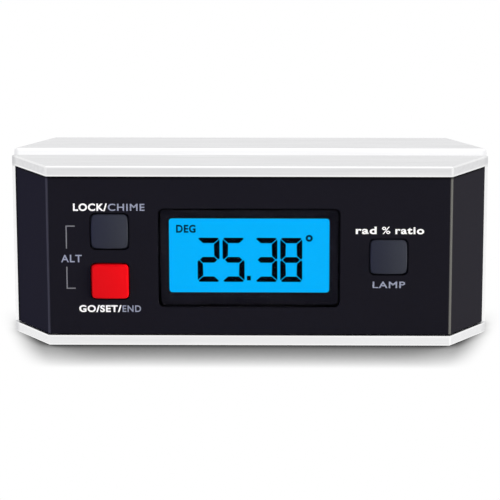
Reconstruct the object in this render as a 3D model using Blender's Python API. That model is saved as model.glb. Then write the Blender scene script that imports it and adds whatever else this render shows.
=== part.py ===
"""Digital angle gauge of the six inch class: a machined aluminium frame with V-grooves and magnets, two moulded
covers, a backlit display, three push keys, the board behind them and a nine volt battery under a sliding door.

Metres, +Z up. X runs along the length, the display faces -Y, and the gauge stands on its lower plate with the
origin at the middle of the footprint.
"""

import math

import bmesh
import bpy
from mathutils import Vector
from mathutils.geometry import interpolate_bezier

# Overall size
LENGTH = 0.152
DEPTH = 0.040
HEIGHT = 0.0588
CORNER_RUN = 0.012
END_FLAT = 0.009

# Aluminium frame
PLATE = 0.0033
END_WALL = 0.003
EDGE_BREAK = 0.0003
GROOVE_WIDTH = 0.0095
GROOVE_WALL = 0.0018
RIB_TIP = 0.0015

# Clearances
GAP = 0.0003
CUT_PAST = 0.003
OVERLAP = 0.0006

# Magnets in the lower plate
MAGNET_RADIUS = 0.004
MAGNET_THICKNESS = 0.002
MAGNET_SUNK = 0.0001
MAGNET_FROM_CORNER = 0.012

# Moulded covers
RECESS = 0.0006
COVER_WALL = 0.002
LIP_WALL = 0.002

# Case screws, from the back into bosses of the front cover
BOSS_RADIUS = 0.003
HEAD_BOSS_RADIUS = 0.0035
BOSS_FROM_FOLD = 0.0043
CASE_SCREW_LENGTH = 0.016
CASE_SCREW_RADIUS = 0.0012
CASE_HEAD_RADIUS = 0.0024
CASE_HEAD_HEIGHT = 0.0019
CASE_SEAT = 0.008

# Display window, glass and holder
DISPLAY_DROP = 0.0007
LENS_WIDTH = 0.0573
LENS_HEIGHT = 0.032
LENS_THICKNESS = 0.001
LENS_CORNER = 0.0017
LENS_LEDGE = 0.0016
GLASS_WIDTH = 0.0552
GLASS_HEIGHT = 0.0324
GLASS_THICKNESS = 0.0011
REAR_GLASS_HEIGHT = 0.0252
REAR_GLASS_THICKNESS = 0.0014
GUIDE_WIDTH = 0.0518
GUIDES_IN_DEPTH = 14.8
HOLDER_WALL = 0.0016
HOLDER_BAR = 0.001
STRIP_HEIGHT = 0.0019
STRIP_LENGTH = 0.050
LED_SIZE = 0.0011
LED_HEIGHT = 0.003
LED_DEPTH = 0.002

# Push keys and their switches
KEY_WIDTH = 0.0116
KEY_HEIGHT = 0.0112
KEY_DROP = 0.0002
KEY_GAP = 0.0005
KEY_CORNER = 0.0012
KEY_CROWN = 0.001
KEY_PROUD = 0.0001
KEY_EDGE = 0.00025
KEY_WALL = 0.0013
KEY_ROOF = 0.0018
KEY_SHARE_OF_FACE = 0.4435
KEY_SPACING = 0.0051
KEY_FLANGE = 0.0012
KEY_FLANGE_THICKNESS = 0.001
KEY_TRAVEL = 0.0005
STEM_RADIUS = 0.002
SWITCH_SIZE = 0.006
SWITCH_HEIGHT = 0.0032
PLUNGER_RADIUS = 0.0016
PLUNGER_PROUD = 0.0008
PLUNGER_SEATED = 0.0013

# Circuit board
BOARD_THICKNESS = 0.0016
BOARD_FROM_BOSS = 0.0015
BOARD_FROM_LIP = 0.0008
POST_RADIUS = 0.0025
POST_FROM_EDGE = 0.0019
BOARD_SCREW_RADIUS = 0.0008
BOARD_SCREW_LENGTH = 0.005
BOARD_HEAD_RADIUS = 0.002
BOARD_HEAD_HEIGHT = 0.0015
CHIP_SIZE = 0.007
CHIP_THICKNESS = 0.0014
CHIP_SPACING = 0.0015
SENSOR_SIZE = 0.010
SENSOR_HEIGHT = 0.005
BUZZER_RADIUS = 0.005
BUZZER_HEIGHT = 0.007
SOCKET_LENGTH = 0.006
SOCKET_WIDTH = 0.004
SOCKET_HEIGHT = 0.004
POST_FROM_HOLDER = 0.002

# Nine volt battery, its snap and leads
BATTERY_LENGTH = 0.0464
BATTERY_HEIGHT = 0.0265
BATTERY_DEPTH = 0.0175
BATTERY_CORNER = 0.002
STUD_SPACING = 0.0127
STUD_HEIGHT = 0.0021
SMALL_STUD_RADIUS = 0.00285
LARGE_STUD_RADIUS = 0.004
SNAP_THICKNESS = 0.0046
SNAP_HEIGHT = 0.0255
SNAP_DEPTH = 0.013
LEAD_RADIUS = 0.0006
LEAD_SPACING = 0.006
LEAD_PIN_SPACING = 0.0025
LEAD_SEATED = 0.001
SOCKET_FROM_BAY = 0.006
BAY_WALL = 0.0018
BAY_FLOOR_WALL = 0.001

# Sliding battery door
DOOR_WALL = 0.002
DOOR_RIM = 0.0015
DOOR_TONGUE = 0.001
DOOR_LAP = 0.0011
DOOR_HOOK = 0.0015
GRIP_RIDGES = 5
GRIP_PITCH = 0.0016
GRIP_RIDGE = 0.0008
GRIP_PROUD = 0.00035
GRIP_LENGTH = 0.014
GRIP_FROM_FOLD = 0.003

# Worked out from the sizes above
HALF_LENGTH = LENGTH / 2
HALF_DEPTH = DEPTH / 2
END_HALF = END_FLAT / 2
CORNER_DEPTH = HALF_DEPTH - END_HALF
CORNER_SLANT = math.hypot(CORNER_RUN, CORNER_DEPTH)
GROOVE_HALF = GROOVE_WIDTH / 2
RIB_REACH = GROOVE_HALF + GROOVE_WALL * math.sqrt(2)
RIB_DEPTH = RIB_REACH - RIB_TIP / 2
MIDDLE = HEIGHT / 2
DISPLAY_MIDDLE = MIDDLE - DISPLAY_DROP
KEY_MIDDLE = MIDDLE - KEY_DROP

COVER_FACE = HALF_DEPTH - RECESS
COVER_INNER = COVER_FACE - COVER_WALL
COVER_EDGE = END_HALF + GAP
COVER_LOW = PLATE + GAP
COVER_HIGH = HEIGHT - PLATE - GAP


def corner_x(depth, inset):
    """Where a cut corner, moved in by inset, lies along the length at this distance from the middle plane."""
    return HALF_LENGTH - (CORNER_RUN * (depth - END_HALF) + inset * CORNER_SLANT) / CORNER_DEPTH


FOLD_X = corner_x(COVER_FACE, RECESS)
BOSS_X = FOLD_X - BOSS_FROM_FOLD
BOSS_FROM_PLATE = RIB_DEPTH + 2 * GAP + BOSS_RADIUS
BOSS_HEIGHTS = (BOSS_FROM_PLATE, HEIGHT - BOSS_FROM_PLATE)

GLASS_FRONT = COVER_INNER - GAP
REAR_GLASS_FRONT = GLASS_FRONT - GLASS_THICKNESS
GUIDE_FRONT = REAR_GLASS_FRONT - REAR_GLASS_THICKNESS - GAP
GUIDE_THICKNESS = DEPTH / GUIDES_IN_DEPTH
BOARD_FRONT = GUIDE_FRONT - GUIDE_THICKNESS - GAP
BOARD_BACK = BOARD_FRONT - BOARD_THICKNESS
HOLDER_HALF_WIDTH = GLASS_WIDTH / 2 + GAP + HOLDER_WALL
HOLDER_HALF_HEIGHT = GLASS_HEIGHT / 2 + GAP + HOLDER_WALL
STRIP_MIDDLE = REAR_GLASS_HEIGHT / 2 + GAP + HOLDER_BAR + GAP + STRIP_HEIGHT / 2

KEY_X = LENS_WIDTH / 2 + KEY_SHARE_OF_FACE * (FOLD_X - LENS_WIDTH / 2)
KEY_PITCH = KEY_HEIGHT + KEY_SPACING
KEY_PLACES = {
    "hold_key": (-KEY_X, KEY_MIDDLE + KEY_PITCH / 2, "#33353F"),
    "power_key": (-KEY_X, KEY_MIDDLE - KEY_PITCH / 2, "#E8121A"),
    "light_key": (KEY_X, KEY_MIDDLE, "#33353F"),
}
SWITCH_FRONT = BOARD_FRONT + GAP + SWITCH_HEIGHT
PLUNGER_FRONT = SWITCH_FRONT + PLUNGER_PROUD

BOARD_HALF = BOSS_X - BOSS_RADIUS - BOARD_FROM_BOSS
BOARD_LOW = COVER_LOW + LIP_WALL + BOARD_FROM_LIP
BOARD_HIGH = COVER_HIGH - LIP_WALL - BOARD_FROM_LIP
POST_X = HOLDER_HALF_WIDTH + POST_FROM_HOLDER + POST_RADIUS
POST_HEIGHTS = (BOARD_LOW + POST_FROM_EDGE, BOARD_HIGH - POST_FROM_EDGE)

BAY_HALF = BATTERY_HEIGHT / 2 + GAP
DOOR_INNER = COVER_INNER - GAP - DOOR_TONGUE
BAY_RIM = DOOR_INNER - GAP
BATTERY_BACK = BAY_RIM
BATTERY_FRONT = BATTERY_BACK - BATTERY_DEPTH
BATTERY_AXIS = (BATTERY_BACK + BATTERY_FRONT) / 2
BAY_FLOOR = BATTERY_FRONT - GAP
BAY_RIGHT = BOSS_X - HEAD_BOSS_RADIUS - GAP - BAY_WALL
BATTERY_RIGHT = BAY_RIGHT - GAP
BATTERY_LEFT = BATTERY_RIGHT - BATTERY_LENGTH
SNAP_RIGHT = BATTERY_LEFT - GAP
SNAP_LEFT = SNAP_RIGHT - SNAP_THICKNESS
BAY_LEFT = SNAP_LEFT - GAP
SOCKET_X = BAY_LEFT - BAY_WALL - SOCKET_FROM_BAY
DOOR_HALF = BAY_HALF - GAP
TONGUE_HALF = DOOR_HALF + DOOR_LAP
DOOR_LEFT = BAY_LEFT + GAP

FRONT = -1
REAR = 1
SMALL_ROUND = 20
LARGE_ROUND = 36
CORNER_STEPS = 4


def linear(channel):
    return channel / 12.92 if channel <= 0.04045 else ((channel + 0.055) / 1.055) ** 2.4


def material(name, colour, roughness, metallic=0.0, alpha=1.0):
    """A Principled material of this name; the colour is an sRGB hex value."""
    if name in bpy.data.materials:
        return bpy.data.materials[name]
    made = bpy.data.materials.new(name)
    made.use_nodes = True
    shader = made.node_tree.nodes["Principled BSDF"]
    channels = [int(colour[i : i + 2], 16) / 255 for i in (1, 3, 5)]
    shader.inputs["Base Color"].default_value = [*map(linear, channels), 1.0]
    shader.inputs["Roughness"].default_value = roughness
    shader.inputs["Metallic"].default_value = metallic
    shader.inputs["Alpha"].default_value = alpha
    return made


def aluminium():
    return material("anodised aluminium", "#D9DBDD", 0.42, 1.0)


def black_abs():
    return material("black ABS", "#1B1A22", 0.5)


def zinc_steel():
    return material("zinc plated steel", "#B9BCC0", 0.35, 1.0)


def span(low_a, high_a, low_b, high_b):
    """Rectangle between these limits."""
    return [(low_a, low_b), (high_a, low_b), (high_a, high_b), (low_a, high_b)]


def rectangle(half_a, half_b, a=0.0, b=0.0):
    """Rectangle of these half sizes about a centre."""
    return span(a - half_a, a + half_a, b - half_b, b + half_b)


def rounded(half_a, half_b, radius, a=0.0, b=0.0):
    """Rectangle with a quarter circle of equal steps at each corner."""
    points = []
    for quarter, (side_a, side_b) in enumerate(((1, 1), (-1, 1), (-1, -1), (1, -1))):
        middle_a = a + side_a * (half_a - radius)
        middle_b = b + side_b * (half_b - radius)
        for step in range(CORNER_STEPS + 1):
            angle = (quarter + step / CORNER_STEPS) * math.pi / 2
            points.append((middle_a + radius * math.cos(angle), middle_b + radius * math.sin(angle)))
    return points


def circle(radius, a=0.0, b=0.0, steps=SMALL_ROUND):
    turns = [2 * math.pi * step / steps for step in range(steps)]
    return [(a + radius * math.cos(turn), b + radius * math.sin(turn)) for turn in turns]


def place_object(name, mesh, finish=None, location=(0.0, 0.0, 0.0)):
    made = bpy.data.objects.new(name, mesh)
    made.location = location
    bpy.context.scene.collection.objects.link(made)
    if finish and not mesh.materials:
        mesh.materials.append(finish)
    return made


def finish_mesh(name, shape):
    """Turns a bmesh into a mesh with its faces out, smooth across its round sides."""
    bmesh.ops.recalc_face_normals(shape, faces=shape.faces)
    mesh = bpy.data.meshes.new(name)
    shape.to_mesh(mesh)
    shape.free()
    mesh.shade_smooth()
    mesh.set_sharp_from_angle(angle=math.radians(30))
    return mesh


def extruded(outline, axis, low, high):
    """A bmesh of the outline extruded along X, Y or Z. The outline lies in YZ, XZ or XY."""
    order = {"X": (2, 0, 1), "Y": (0, 2, 1), "Z": (0, 1, 2)}[axis]
    shape = bmesh.new()
    corners = []
    for point in outline:
        values = (*point, low)
        corners.append(shape.verts.new([values[i] for i in order]))
    grown = bmesh.ops.extrude_face_region(shape, geom=[shape.faces.new(corners)])
    moved = [item for item in grown["geom"] if isinstance(item, bmesh.types.BMVert)]
    direction = [(0.0, 0.0, high - low)[i] for i in order]
    bmesh.ops.translate(shape, verts=moved, vec=direction)
    return shape


def prism(name, outline, axis, low, high, finish=None, location=(0.0, 0.0, 0.0)):
    return place_object(name, finish_mesh(name, extruded(outline, axis, low, high)), finish, location)


def loft(name, rings, finish=None, location=(0.0, 0.0, 0.0)):
    """A closed body through rings of equal point counts, with a flat face over the first and the last."""
    shape = bmesh.new()
    loops = [[shape.verts.new(point) for point in ring] for ring in rings]
    for near, far in zip(loops, loops[1:]):
        for i, corner in enumerate(near):
            follow = (i + 1) % len(near)
            shape.faces.new((corner, near[follow], far[follow], far[i]))
    shape.faces.new(loops[0])
    shape.faces.new(loops[-1])
    return place_object(name, finish_mesh(name, shape), finish, location)


def turned(name, profile, finish=None, location=(0.0, 0.0, 0.0), steps=SMALL_ROUND):
    """A round body about a line along Y; the profile is (radius, y) from one end to the other."""
    rings = [[(a, y, b) for a, b in circle(radius, steps=steps)] for radius, y in profile]
    return loft(name, rings, finish, location)


def combine(body, operation, pieces):
    """Joins the pieces to a body, or cuts them from it, and leaves them as hidden tools."""
    group = bpy.data.collections.new(f"{body.name} {operation.lower()}")
    bpy.context.scene.collection.children.link(group)
    for piece in pieces:
        bpy.context.scene.collection.objects.unlink(piece)
        group.objects.link(piece)
        piece.hide_render = True
        piece.display_type = "WIRE"
    modifier = body.modifiers.new(operation.title(), "BOOLEAN")
    modifier.operation = operation
    modifier.solver = "EXACT"
    modifier.operand_type = "COLLECTION"
    modifier.collection = group


def join(body, pieces):
    combine(body, "UNION", pieces)


def cut(body, pieces):
    combine(body, "DIFFERENCE", pieces)


def octagon():
    """Plan of the frame: a rectangle with its four corners cut off, leaving narrow flats at the ends."""
    fold = HALF_LENGTH - CORNER_RUN
    right = [(fold, -HALF_DEPTH), (HALF_LENGTH, -END_HALF), (HALF_LENGTH, END_HALF), (fold, HALF_DEPTH)]
    return right + [(-x, y) for x, y in reversed(right)]


def frame():
    """One machined ring: two plates with V-grooves, ribs behind the grooves, and two narrow end walls."""
    slab = extruded(octagon(), "Z", 0.0, HEIGHT)
    rims = [edge for edge in slab.edges if abs(edge.verts[0].co.z - edge.verts[1].co.z) < GAP]
    bmesh.ops.bevel(slab, geom=rims, offset=EDGE_BREAK, segments=1, affect="EDGES")
    body = place_object("frame", finish_mesh("frame", slab), aluminium())

    inner_length = HALF_LENGTH - END_WALL
    outside = HALF_DEPTH + CUT_PAST
    foot = RIB_REACH - PLATE
    low_half = [(outside, PLATE), (foot, PLATE), (RIB_TIP / 2, RIB_DEPTH)]
    right = low_half[::-1]
    left = [(-y, z) for y, z in low_half]
    low_side = left + right
    high_side = [(y, HEIGHT - z) for y, z in reversed(low_side)]
    tools = [prism("frame window", low_side + high_side, "X", -inner_length, inner_length)]
    for end in (-1, 1):
        inside, past = sorted((end * (inner_length - OVERLAP), end * (HALF_LENGTH + CUT_PAST)))
        for side in (FRONT, REAR):
            near, far = sorted((side * END_HALF, side * outside))
            tools.append(prism("frame corner", span(inside, past, near, far), "Z", PLATE, HEIGHT - PLATE))
    for base, up in ((0.0, 1), (HEIGHT, -1)):
        mouth = GROOVE_HALF + CUT_PAST
        groove = [(-mouth, base - up * CUT_PAST), (mouth, base - up * CUT_PAST), (0.0, base + up * GROOVE_HALF)]
        past_end = HALF_LENGTH + CUT_PAST
        tools.append(prism("V-groove", groove, "X", -past_end, past_end))
    pocket_top = MAGNET_SUNK + MAGNET_THICKNESS + GAP
    for x, y in magnet_places():
        pocket = circle(MAGNET_RADIUS + GAP, x, y, LARGE_ROUND)
        tools.append(prism("magnet pocket", pocket, "Z", -CUT_PAST, pocket_top))
    cut(body, tools)


def magnet_places():
    """Four places in the lower plate, midway between the groove and the edge."""
    x = HALF_LENGTH - CORNER_RUN - MAGNET_FROM_CORNER
    y = (GROOVE_HALF + HALF_DEPTH) / 2
    return [(side_x * x, side_y * y) for side_x in (-1, 1) for side_y in (FRONT, REAR)]


def magnets():
    disc = extruded(circle(MAGNET_RADIUS, steps=LARGE_ROUND), "Z", 0.0, MAGNET_THICKNESS)
    mesh = finish_mesh("magnet", disc)
    for number, (x, y) in enumerate(magnet_places(), 1):
        finish = material("nickel plated magnet", "#C9C8C4", 0.25, 1.0)
        place_object(f"magnet_{number}", mesh, finish, (x, y, MAGNET_SUNK))


def cover_plan(side, inset, edge):
    """Plan of a cover: its straight face and both cut corners, moved in by inset, as far as the depth edge."""
    face = HALF_DEPTH - inset
    half = [(corner_x(edge, inset), side * edge), (corner_x(face, inset), side * face)]
    return half + [(-x, y) for x, y in reversed(half)]


def cover_shell(name, side):
    """A moulded tray: the face, the cut corners and a lip along each plate, open towards the middle."""
    body = prism(name, cover_plan(side, RECESS, COVER_EDGE), "Z", COVER_LOW, COVER_HIGH, black_abs())
    inside = cover_plan(side, RECESS + COVER_WALL, COVER_EDGE - CUT_PAST)
    hollow = prism("cover hollow", inside, "Z", COVER_LOW + LIP_WALL, COVER_HIGH - LIP_WALL)
    reliefs = []
    rib_side = side * (RIB_REACH - PLATE + GAP)
    near, far = sorted((rib_side, side * (END_HALF - CUT_PAST)))
    if far > near:
        for low, high in ((0.0, COVER_LOW + LIP_WALL + OVERLAP), (COVER_HIGH - LIP_WALL - OVERLAP, HEIGHT)):
            relief = span(-HALF_LENGTH, HALF_LENGTH, near, far)
            reliefs.append(prism("rib relief", relief, "Z", low, high))
    cut(body, [hollow] + reliefs)
    return body


def front_cover():
    body = cover_shell("front_cover", FRONT)
    seam = -GAP / 2
    additions = []
    tools = []
    screw_tip = CASE_SEAT - CASE_SCREW_LENGTH
    for x in (-BOSS_X, BOSS_X):
        for z in BOSS_HEIGHTS:
            boss = circle(BOSS_RADIUS, x, z)
            additions.append(prism("front boss", boss, "Y", -COVER_INNER - OVERLAP, seam))
            pilot = circle(CASE_SCREW_RADIUS + GAP, x, z)
            tools.append(prism("pilot hole", pilot, "Y", screw_tip - 2 * GAP, CUT_PAST))
    board_tip = -BOARD_BACK - BOARD_SCREW_LENGTH
    for x in (-POST_X, POST_X):
        for z in POST_HEIGHTS:
            post = circle(POST_RADIUS, x, z)
            additions.append(prism("board post", post, "Y", -COVER_INNER - OVERLAP, -BOARD_FRONT - GAP))
            pilot = circle(BOARD_SCREW_RADIUS + GAP, x, z)
            tools.append(prism("board pilot hole", pilot, "Y", board_tip - 2 * GAP, -BOARD_FRONT))
    join(body, additions)

    half_width = LENS_WIDTH / 2 + GAP
    half_height = LENS_HEIGHT / 2 + GAP
    seat = rounded(half_width, half_height, LENS_CORNER + GAP, 0.0, DISPLAY_MIDDLE)
    seat_back = -COVER_FACE + LENS_THICKNESS + GAP
    tools.append(prism("lens seat", seat, "Y", -HALF_DEPTH - CUT_PAST, seat_back))
    window = rectangle(half_width - LENS_LEDGE, half_height - LENS_LEDGE, 0.0, DISPLAY_MIDDLE)
    tools.append(prism("display window", window, "Y", -HALF_DEPTH - CUT_PAST, -GLASS_FRONT))
    for x, z, _ in KEY_PLACES.values():
        hole = rounded(KEY_WIDTH / 2 + KEY_GAP, KEY_HEIGHT / 2 + KEY_GAP, KEY_CORNER + KEY_GAP, x, z)
        tools.append(prism("key opening", hole, "Y", -HALF_DEPTH - CUT_PAST, -GLASS_FRONT))
    cut(body, tools)


def rear_cover():
    """The back tray carries the screw sleeves and the battery bay, with a slot for the door's tongues."""
    body = cover_shell("rear_cover", REAR)
    seam = GAP / 2
    additions = []
    tools = []
    past_face = HALF_DEPTH + CUT_PAST
    for x in (-BOSS_X, BOSS_X):
        for z in BOSS_HEIGHTS:
            sleeve = circle(BOSS_RADIUS, x, z)
            additions.append(prism("rear sleeve", sleeve, "Y", seam, COVER_INNER + OVERLAP))
            head_sleeve = circle(HEAD_BOSS_RADIUS, x, z)
            additions.append(prism("head sleeve", head_sleeve, "Y", CASE_SEAT, COVER_INNER + OVERLAP))
            hole = circle(CASE_SCREW_RADIUS + GAP, x, z)
            tools.append(prism("screw hole", hole, "Y", -CUT_PAST, past_face))
            counterbore = circle(CASE_HEAD_RADIUS + GAP, x, z)
            tools.append(prism("counterbore", counterbore, "Y", CASE_SEAT + 2 * GAP, past_face))

    tub_half = BAY_HALF + BAY_WALL
    slot_half = TONGUE_HALF + GAP
    tub = span(BAY_LEFT - BAY_WALL, BAY_RIGHT + BAY_WALL, MIDDLE - tub_half, MIDDLE + tub_half)
    additions.append(prism("battery tub", tub, "Y", BAY_FLOOR - BAY_FLOOR_WALL, COVER_INNER + OVERLAP))
    sill_half = (tub_half + slot_half) / 2
    sill_low = BAY_RIM - COVER_WALL
    sill_high = COVER_INNER + OVERLAP
    in_wall = RECESS + COVER_WALL / 3
    sill = [(BAY_RIGHT, sill_low), (corner_x(sill_low, in_wall), sill_low)]
    sill += [(corner_x(sill_high, in_wall), sill_high), (BAY_RIGHT, sill_high)]
    additions.append(prism("door sill", sill, "Z", MIDDLE - sill_half, MIDDLE + sill_half))
    join(body, additions)

    bay = [
        (BAY_LEFT, BAY_FLOOR),
        (BAY_RIGHT, BAY_FLOOR),
        (BAY_RIGHT, BAY_RIM),
        (HALF_LENGTH, BAY_RIM),
        (HALF_LENGTH, past_face),
        (BAY_LEFT, past_face),
    ]
    tools.append(prism("battery bay", bay, "Z", MIDDLE - BAY_HALF, MIDDLE + BAY_HALF))
    slot_left = DOOR_LEFT - DOOR_HOOK - GAP
    slot = span(slot_left, HALF_LENGTH + CUT_PAST, MIDDLE - slot_half, MIDDLE + slot_half)
    tools.append(prism("tongue slot", slot, "Y", BAY_RIM, COVER_INNER))
    half_notch = LEAD_SPACING / 2 + LEAD_RADIUS + BAY_WALL
    notch = span(slot_left - BAY_WALL, BAY_LEFT + OVERLAP, MIDDLE - half_notch, MIDDLE + half_notch)
    tools.append(prism("lead notch", notch, "Y", BATTERY_AXIS - half_notch, COVER_INNER - DOOR_TONGUE))
    cut(body, tools)


def battery_door():
    """Slides off along +X: tongues under the back's edges, a hook at the inner end, and its outer end cut to the
    slope of the corner."""
    tongue_top = DOOR_INNER + DOOR_TONGUE
    plan = [
        (DOOR_LEFT - DOOR_HOOK, DOOR_INNER),
        (DOOR_LEFT - DOOR_HOOK, tongue_top),
        (DOOR_LEFT, tongue_top),
        (DOOR_LEFT, COVER_FACE),
        (FOLD_X, COVER_FACE),
        (corner_x(DOOR_INNER, RECESS), DOOR_INNER),
    ]
    body = prism("battery_door", plan, "Z", MIDDLE - TONGUE_HALF, MIDDLE + TONGUE_HALF, black_abs())
    tools = []
    for side in (-1, 1):
        near, far = sorted((MIDDLE + side * DOOR_HALF, MIDDLE + side * (TONGUE_HALF + CUT_PAST)))
        shoulder = span(DOOR_LEFT - CUT_PAST, HALF_LENGTH, near, far)
        tools.append(prism("door shoulder", shoulder, "Y", tongue_top, COVER_FACE + CUT_PAST))
    pocket_half = DOOR_HALF - DOOR_RIM
    pocket = span(DOOR_LEFT + DOOR_RIM, FOLD_X - DOOR_RIM, MIDDLE - pocket_half, MIDDLE + pocket_half)
    tools.append(prism("door pocket", pocket, "Y", DOOR_INNER - CUT_PAST, COVER_FACE - DOOR_WALL))
    cut(body, tools)
    ridges = []
    for ridge in range(GRIP_RIDGES):
        right = FOLD_X - GRIP_FROM_FOLD - ridge * GRIP_PITCH
        bar = span(right - GRIP_RIDGE, right, MIDDLE - GRIP_LENGTH / 2, MIDDLE + GRIP_LENGTH / 2)
        ridges.append(prism("grip ridge", bar, "Y", COVER_FACE - OVERLAP, COVER_FACE + GRIP_PROUD))
    join(body, ridges)


def lens():
    """Clear acrylic window, flush with the face of the cover."""
    outline = rounded(LENS_WIDTH / 2, LENS_HEIGHT / 2, LENS_CORNER, 0.0, DISPLAY_MIDDLE)
    clear = material("smoked acrylic", "#10131C", 0.08, alpha=0.6)
    prism("lens", outline, "Y", -COVER_FACE, -COVER_FACE + LENS_THICKNESS, clear)


def display():
    """Liquid crystal cell with a contact ledge above and below, its light guide, strips, lamps and holder."""
    cell = [
        (-GLASS_FRONT, -GLASS_HEIGHT / 2),
        (-REAR_GLASS_FRONT, -GLASS_HEIGHT / 2),
        (-REAR_GLASS_FRONT, -REAR_GLASS_HEIGHT / 2),
        (-GUIDE_FRONT - GAP, -REAR_GLASS_HEIGHT / 2),
    ]
    section = cell + [(y, -z) for y, z in reversed(cell)]
    section = [(y, DISPLAY_MIDDLE + z) for y, z in section]
    blue = material("lit display", "#00AEFF", 0.2)
    prism("lcd_glass", section, "X", -GLASS_WIDTH / 2, GLASS_WIDTH / 2, blue)

    guide = rectangle(GUIDE_WIDTH / 2, REAR_GLASS_HEIGHT / 2, 0.0, DISPLAY_MIDDLE)
    diffuser = material("white diffuser", "#E8F2F8", 0.3)
    prism("light_guide", guide, "Y", -GUIDE_FRONT, -BOARD_FRONT - GAP, diffuser)
    led_middle = GUIDE_WIDTH / 2 + GAP + LED_SIZE / 2
    for name, side in (("left_led", -1), ("right_led", 1)):
        chip = rectangle(LED_SIZE / 2, LED_HEIGHT / 2, side * led_middle, DISPLAY_MIDDLE)
        lamp = material("white ceramic", "#F2EFD8", 0.4)
        prism(name, chip, "Y", -BOARD_FRONT - GAP - LED_DEPTH, -BOARD_FRONT - GAP, lamp)

    strip_front = -REAR_GLASS_FRONT + GAP
    for name, side in (("upper_contact_strip", 1), ("lower_contact_strip", -1)):
        strip = rectangle(STRIP_LENGTH / 2, STRIP_HEIGHT / 2, 0.0, DISPLAY_MIDDLE + side * STRIP_MIDDLE)
        rubber = material("striped silicone rubber", "#D8A8A0", 0.7)
        prism(name, strip, "Y", strip_front, -BOARD_FRONT - GAP, rubber)

    outline = rounded(HOLDER_HALF_WIDTH, HOLDER_HALF_HEIGHT, HOLDER_WALL, 0.0, DISPLAY_MIDDLE)
    holder = prism("lcd_holder", outline, "Y", -GLASS_FRONT, -BOARD_FRONT - GAP, material("white ABS", "#E6E6E2", 0.5))
    pocket = rectangle(GLASS_WIDTH / 2 + GAP, GLASS_HEIGHT / 2 + GAP, 0.0, DISPLAY_MIDDLE)
    opening = rectangle(GLASS_WIDTH / 2 + GAP, REAR_GLASS_HEIGHT / 2 + GAP, 0.0, DISPLAY_MIDDLE)
    tools = [
        prism("glass pocket", pocket, "Y", -GLASS_FRONT - CUT_PAST, strip_front),
        prism("guide opening", opening, "Y", -GLASS_FRONT - CUT_PAST, -BOARD_FRONT + CUT_PAST),
    ]
    for side in (-1, 1):
        slot = rectangle(STRIP_LENGTH / 2 + GAP, STRIP_HEIGHT / 2 + GAP, 0.0, DISPLAY_MIDDLE + side * STRIP_MIDDLE)
        tools.append(prism("strip slot", slot, "Y", -GLASS_FRONT - CUT_PAST, -BOARD_FRONT + CUT_PAST))
    cut(holder, tools)


def key_ring(margin, radius, depth):
    """One ring of a key: its outline grown by a margin, at a depth behind the cover's face."""
    return [(a, depth, b) for a, b in rounded(KEY_WIDTH / 2 + margin, KEY_HEIGHT / 2 + margin, radius)]


def stem_ring(depth):
    """One ring of a key's round stem."""
    return [(a, depth, b) for a, b in rounded(STEM_RADIUS, STEM_RADIUS, STEM_RADIUS)]


def crowned_ring(share, set_back):
    """A ring of the key's face, which is a shallow ball cap that meets the four corners."""
    corner = math.hypot(KEY_WIDTH / 2 - KEY_CORNER, KEY_HEIGHT / 2 - KEY_CORNER) + KEY_CORNER
    ring = []
    for a, b in rounded(KEY_WIDTH / 2 * share, KEY_HEIGHT / 2 * share, KEY_CORNER * share):
        crown = KEY_CROWN * (1 - (math.hypot(a, b) / corner) ** 2)
        ring.append((a, set_back - KEY_PROUD - crown, b))
    return ring


def key_cap(name, x, z, colour):
    """Moulded cap: crowned face, side walls, a flange behind the cover and a stem on the switch."""
    flange_front = COVER_WALL + GAP
    flange_back = flange_front + KEY_FLANGE_THICKNESS
    stem_tip = COVER_FACE - PLUNGER_FRONT - GAP
    rings = [crowned_ring(share, 0.0) for share in (0.3, 0.6, 0.8, 0.95)]
    rings.append(crowned_ring(1.0, KEY_EDGE))
    rings.append(key_ring(0.0, KEY_CORNER, flange_front))
    rings.append(key_ring(KEY_FLANGE, KEY_CORNER + KEY_FLANGE, flange_front))
    rings.append(key_ring(KEY_FLANGE, KEY_CORNER + KEY_FLANGE, flange_back))
    rings.append(key_ring(-KEY_WALL, KEY_CORNER, flange_back))
    rings.append(key_ring(-KEY_WALL, KEY_CORNER, KEY_ROOF))
    rings.append(stem_ring(KEY_ROOF))
    rings.append(stem_ring(stem_tip))
    loft(name, rings, material(f"{name} plastic", colour, 0.45), (x, -COVER_FACE, z))


def keys():
    """Each key with its tact switch on the board: a square body and a round plunger that the stem pushes."""
    for name, (x, z, colour) in KEY_PLACES.items():
        key_cap(name, x, z, colour)
        stem = name.replace("_key", "")
        shell = material("black nylon", "#18181A", 0.5)
        square = rectangle(SWITCH_SIZE / 2, SWITCH_SIZE / 2, x, z)
        body = prism(f"{stem}_switch", square, "Y", -SWITCH_FRONT, -BOARD_FRONT - GAP, shell)
        bore = circle(PLUNGER_RADIUS + GAP, x, z)
        bore_end = -SWITCH_FRONT + PLUNGER_SEATED + KEY_TRAVEL + GAP
        cut(body, [prism("switch bore", bore, "Y", -SWITCH_FRONT - CUT_PAST, bore_end)])
        button = material("ivory nylon", "#D8D2BE", 0.5)
        profile = [(PLUNGER_RADIUS, 0.0), (PLUNGER_RADIUS, PLUNGER_PROUD + PLUNGER_SEATED)]
        turned(f"{stem}_plunger", profile, button, (x, -PLUNGER_FRONT, z))


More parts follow.
